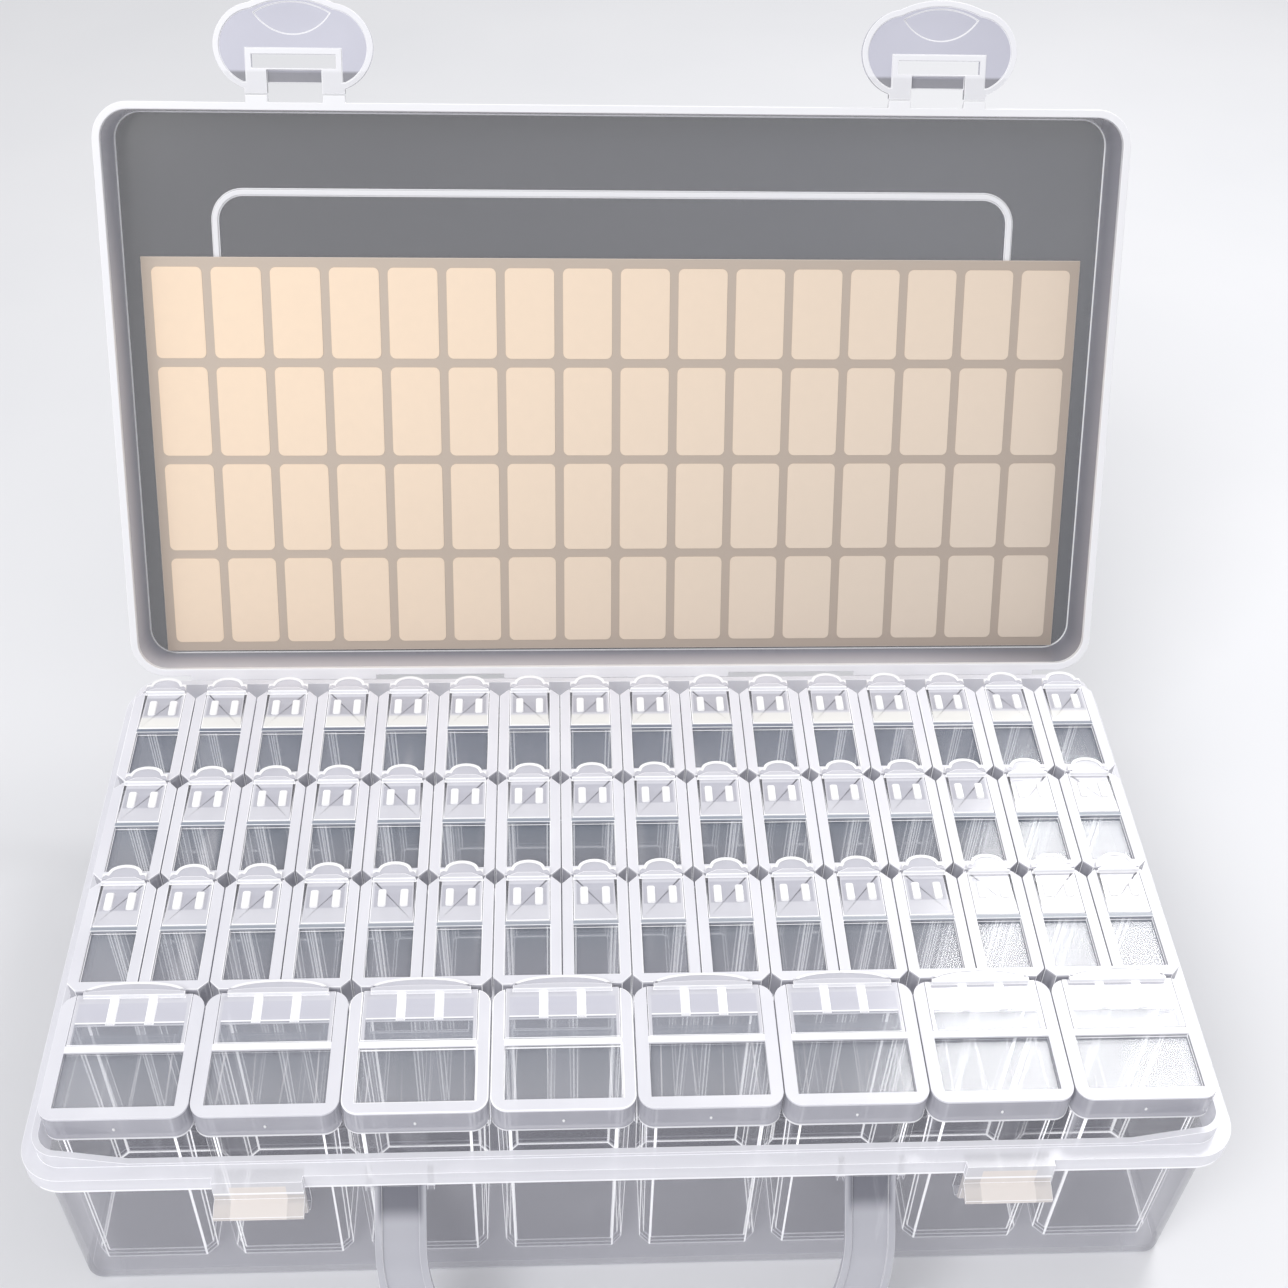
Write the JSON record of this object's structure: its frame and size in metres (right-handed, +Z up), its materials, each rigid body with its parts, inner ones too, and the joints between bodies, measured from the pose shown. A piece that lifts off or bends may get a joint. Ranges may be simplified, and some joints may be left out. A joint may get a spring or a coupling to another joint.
{
  "type": "bead storage box",
  "caption": "Hinged clear plastic carrying case filled with rows of small flip-top bottles for beads, with two latches, a swing handle and a sheet of blank labels.",
  "frame": {"origin": "centre of the tray's underside, on the surface that the box stands on", "axes": "+X to the right across the front, +Y from the front (handle side) to the back (hinge side), +Z up"},
  "size_m": [0.225, 0.2284, 0.1796],
  "materials": {
    "tray": "clear moulded plastic, slightly milky",
    "lid": "clear moulded plastic, slightly milky",
    "film": "thin bent plastic film, whitened by bending",
    "latch": "clear moulded plastic, slightly milky",
    "handle": "clear moulded plastic, slightly milky",
    "jar": "clear moulded plastic",
    "cap": "milky moulded plastic",
    "flap": "milky moulded plastic",
    "backing": "waxed backing paper",
    "label": "matt paper"
  },
  "bodies": {
    "tray": {"base": "tray", "hinge_film_left": "film", "hinge_film_centre": "film", "hinge_film_right": "film"},
    "lid": {"lid": "lid"},
    "latch_left": {"latch_left": "latch"},
    "latch_right": {"latch_right": "latch"},
    "handle": {"handle": "handle"},
    "label_sheet": {"label_backing": "backing", "labels": "label"},
    "bottle_row_1": {"small_jars_row_1": "jar", "small_collars_row_1": "cap"},
    "flap_row_1": {"small_flaps_row_1": "flap"},
    "bottle_row_2": {"small_jars_row_2": "jar", "small_collars_row_2": "cap"},
    "flap_row_2": {"small_flaps_row_2": "flap"},
    "bottle_row_3": {"small_jars_row_3": "jar", "small_collars_row_3": "cap"},
    "flap_row_3": {"small_flaps_row_3": "flap"},
    "bottle_1_12": {"small_jar_1_12": "jar", "small_collar_1_12": "cap"},
    "flap_1_12": {"small_flap_1_12": "flap"},
    "bottle_1_13": {"small_jar_1_13": "jar", "small_collar_1_13": "cap"},
    "flap_1_13": {"small_flap_1_13": "flap"},
    "bottle_1_14": {"small_jar_1_14": "jar", "small_collar_1_14": "cap"},
    "flap_1_14": {"small_flap_1_14": "flap"},
    "bottle_2_11": {"small_jar_2_11": "jar", "small_collar_2_11": "cap"},
    "flap_2_11": {"small_flap_2_11": "flap"},
    "bottle_2_12": {"small_jar_2_12": "jar", "small_collar_2_12": "cap"},
    "flap_2_12": {"small_flap_2_12": "flap"},
    "bottle_large_1": {"large_jar_1": "jar", "large_collar_1": "cap"},
    "flap_large_1": {"large_flap_1": "flap"},
    "bottle_large_2": {"large_jar_2": "jar", "large_collar_2": "cap"},
    "flap_large_2": {"large_flap_2": "flap"},
    "bottle_large_3": {"large_jar_3": "jar", "large_collar_3": "cap"},
    "flap_large_3": {"large_flap_3": "flap"},
    "bottle_large_4": {"large_jar_4": "jar", "large_collar_4": "cap"},
    "flap_large_4": {"large_flap_4": "flap"},
    "bottle_large_5": {"large_jar_5": "jar", "large_collar_5": "cap"},
    "flap_large_5": {"large_flap_5": "flap"},
    "bottle_large_6": {"large_jar_6": "jar", "large_collar_6": "cap"},
    "flap_large_6": {"large_flap_6": "flap"},
    "bottle_large_7": {"large_jar_7": "jar", "large_collar_7": "cap"},
    "flap_large_7": {"large_flap_7": "flap"},
    "bottle_large_8": {"large_jar_8": "jar", "large_collar_8": "cap"},
    "flap_large_8": {"large_flap_8": "flap"}
  },
  "joints": [
    {"name": "lid_hinge", "type": "hinge", "parent": "tray", "child": "lid", "pos_m": [0, 0.0647, 0.0446], "axis": [-1, 0, 0], "range_deg": [-116.7, 0]},
    {"name": "label_sheet_slide", "type": "slide", "parent": "lid", "child": "label_sheet", "axis": [0, -0.8934, 0.4493], "range_m": [0, 0.016]},
    {"name": "handle_hinge", "type": "hinge", "parent": "tray", "child": "handle", "pos_m": [0, -0.062, 0.0392], "axis": [-1, 0, 0], "range_deg": [0, 57]},
    {"name": "latch_left_hinge", "type": "hinge", "parent": "lid", "child": "latch_left", "pos_m": [-0.069, 0.12356, 0.16141], "axis": [-1, 0, 0], "range_deg": [-90, 0]},
    {"name": "latch_right_hinge", "type": "hinge", "parent": "lid", "child": "latch_right", "pos_m": [0.069, 0.12356, 0.16141], "axis": [-1, 0, 0], "range_deg": [-90, 0]},
    {"name": "bottle_row_1_lift", "type": "slide", "parent": "tray", "child": "bottle_row_1", "axis": [0, 0, 1], "range_m": [0, 0.05]},
    {"name": "flap_row_1_hinge", "type": "hinge", "parent": "bottle_row_1", "child": "flap_row_1", "pos_m": [0, 0.03985, 0.05465], "axis": [1, 0, 0], "range_deg": [0, 115]},
    {"name": "bottle_row_2_lift", "type": "slide", "parent": "tray", "child": "bottle_row_2", "axis": [0, 0, 1], "range_m": [0, 0.05]},
    {"name": "flap_row_2_hinge", "type": "hinge", "parent": "bottle_row_2", "child": "flap_row_2", "pos_m": [0, 0.01285, 0.05465], "axis": [1, 0, 0], "range_deg": [0, 115]},
    {"name": "bottle_row_3_lift", "type": "slide", "parent": "tray", "child": "bottle_row_3", "axis": [0, 0, 1], "range_m": [0, 0.05]},
    {"name": "flap_row_3_hinge", "type": "hinge", "parent": "bottle_row_3", "child": "flap_row_3", "pos_m": [0, -0.01415, 0.05465], "axis": [1, 0, 0], "range_deg": [0, 115]},
    {"name": "bottle_1_12_lift", "type": "slide", "parent": "tray", "child": "bottle_1_12", "axis": [0, 0, 1], "range_m": [0, 0.05]},
    {"name": "flap_1_12_hinge", "type": "hinge", "parent": "bottle_1_12", "child": "flap_1_12", "pos_m": [0.04725, 0.03985, 0.05465], "axis": [1, 0, 0], "range_deg": [0, 115]},
    {"name": "bottle_1_13_lift", "type": "slide", "parent": "tray", "child": "bottle_1_13", "axis": [0, 0, 1], "range_m": [0, 0.05]},
    {"name": "flap_1_13_hinge", "type": "hinge", "parent": "bottle_1_13", "child": "flap_1_13", "pos_m": [0.06075, 0.03985, 0.05465], "axis": [1, 0, 0], "range_deg": [0, 115]},
    {"name": "bottle_1_14_lift", "type": "slide", "parent": "tray", "child": "bottle_1_14", "axis": [0, 0, 1], "range_m": [0, 0.05]},
    {"name": "flap_1_14_hinge", "type": "hinge", "parent": "bottle_1_14", "child": "flap_1_14", "pos_m": [0.07425, 0.03985, 0.05465], "axis": [1, 0, 0], "range_deg": [0, 115]},
    {"name": "bottle_2_11_lift", "type": "slide", "parent": "tray", "child": "bottle_2_11", "axis": [0, 0, 1], "range_m": [0, 0.05]},
    {"name": "flap_2_11_hinge", "type": "hinge", "parent": "bottle_2_11", "child": "flap_2_11", "pos_m": [0.03375, 0.01285, 0.05465], "axis": [1, 0, 0], "range_deg": [0, 115]},
    {"name": "bottle_2_12_lift", "type": "slide", "parent": "tray", "child": "bottle_2_12", "axis": [0, 0, 1], "range_m": [0, 0.05]},
    {"name": "flap_2_12_hinge", "type": "hinge", "parent": "bottle_2_12", "child": "flap_2_12", "pos_m": [0.04725, 0.01285, 0.05465], "axis": [1, 0, 0], "range_deg": [0, 115]},
    {"name": "bottle_large_1_lift", "type": "slide", "parent": "tray", "child": "bottle_large_1", "axis": [0, 0, 1], "range_m": [0, 0.05]},
    {"name": "flap_large_1_hinge", "type": "hinge", "parent": "bottle_large_1", "child": "flap_large_1", "pos_m": [-0.0945, -0.04165, 0.05465], "axis": [1, 0, 0], "range_deg": [0, 115]},
    {"name": "bottle_large_2_lift", "type": "slide", "parent": "tray", "child": "bottle_large_2", "axis": [0, 0, 1], "range_m": [0, 0.05]},
    {"name": "flap_large_2_hinge", "type": "hinge", "parent": "bottle_large_2", "child": "flap_large_2", "pos_m": [-0.0675, -0.04165, 0.05465], "axis": [1, 0, 0], "range_deg": [0, 115]},
    {"name": "bottle_large_3_lift", "type": "slide", "parent": "tray", "child": "bottle_large_3", "axis": [0, 0, 1], "range_m": [0, 0.05]},
    {"name": "flap_large_3_hinge", "type": "hinge", "parent": "bottle_large_3", "child": "flap_large_3", "pos_m": [-0.0405, -0.04165, 0.05465], "axis": [1, 0, 0], "range_deg": [0, 115]},
    {"name": "bottle_large_4_lift", "type": "slide", "parent": "tray", "child": "bottle_large_4", "axis": [0, 0, 1], "range_m": [0, 0.05]},
    {"name": "flap_large_4_hinge", "type": "hinge", "parent": "bottle_large_4", "child": "flap_large_4", "pos_m": [-0.0135, -0.04165, 0.05465], "axis": [1, 0, 0], "range_deg": [0, 115]},
    {"name": "bottle_large_5_lift", "type": "slide", "parent": "tray", "child": "bottle_large_5", "axis": [0, 0, 1], "range_m": [0, 0.05]},
    {"name": "flap_large_5_hinge", "type": "hinge", "parent": "bottle_large_5", "child": "flap_large_5", "pos_m": [0.0135, -0.04165, 0.05465], "axis": [1, 0, 0], "range_deg": [0, 115]},
    {"name": "bottle_large_6_lift", "type": "slide", "parent": "tray", "child": "bottle_large_6", "axis": [0, 0, 1], "range_m": [0, 0.05]},
    {"name": "flap_large_6_hinge", "type": "hinge", "parent": "bottle_large_6", "child": "flap_large_6", "pos_m": [0.0405, -0.04165, 0.05465], "axis": [1, 0, 0], "range_deg": [0, 115]},
    {"name": "bottle_large_7_lift", "type": "slide", "parent": "tray", "child": "bottle_large_7", "axis": [0, 0, 1], "range_m": [0, 0.05]},
    {"name": "flap_large_7_hinge", "type": "hinge", "parent": "bottle_large_7", "child": "flap_large_7", "pos_m": [0.0675, -0.04165, 0.05465], "axis": [1, 0, 0], "range_deg": [0, 115]},
    {"name": "bottle_large_8_lift", "type": "slide", "parent": "tray", "child": "bottle_large_8", "axis": [0, 0, 1], "range_m": [0, 0.05]},
    {"name": "flap_large_8_hinge", "type": "hinge", "parent": "bottle_large_8", "child": "flap_large_8", "pos_m": [0.0945, -0.04165, 0.05465], "axis": [1, 0, 0], "range_deg": [0, 115]}
  ]
}
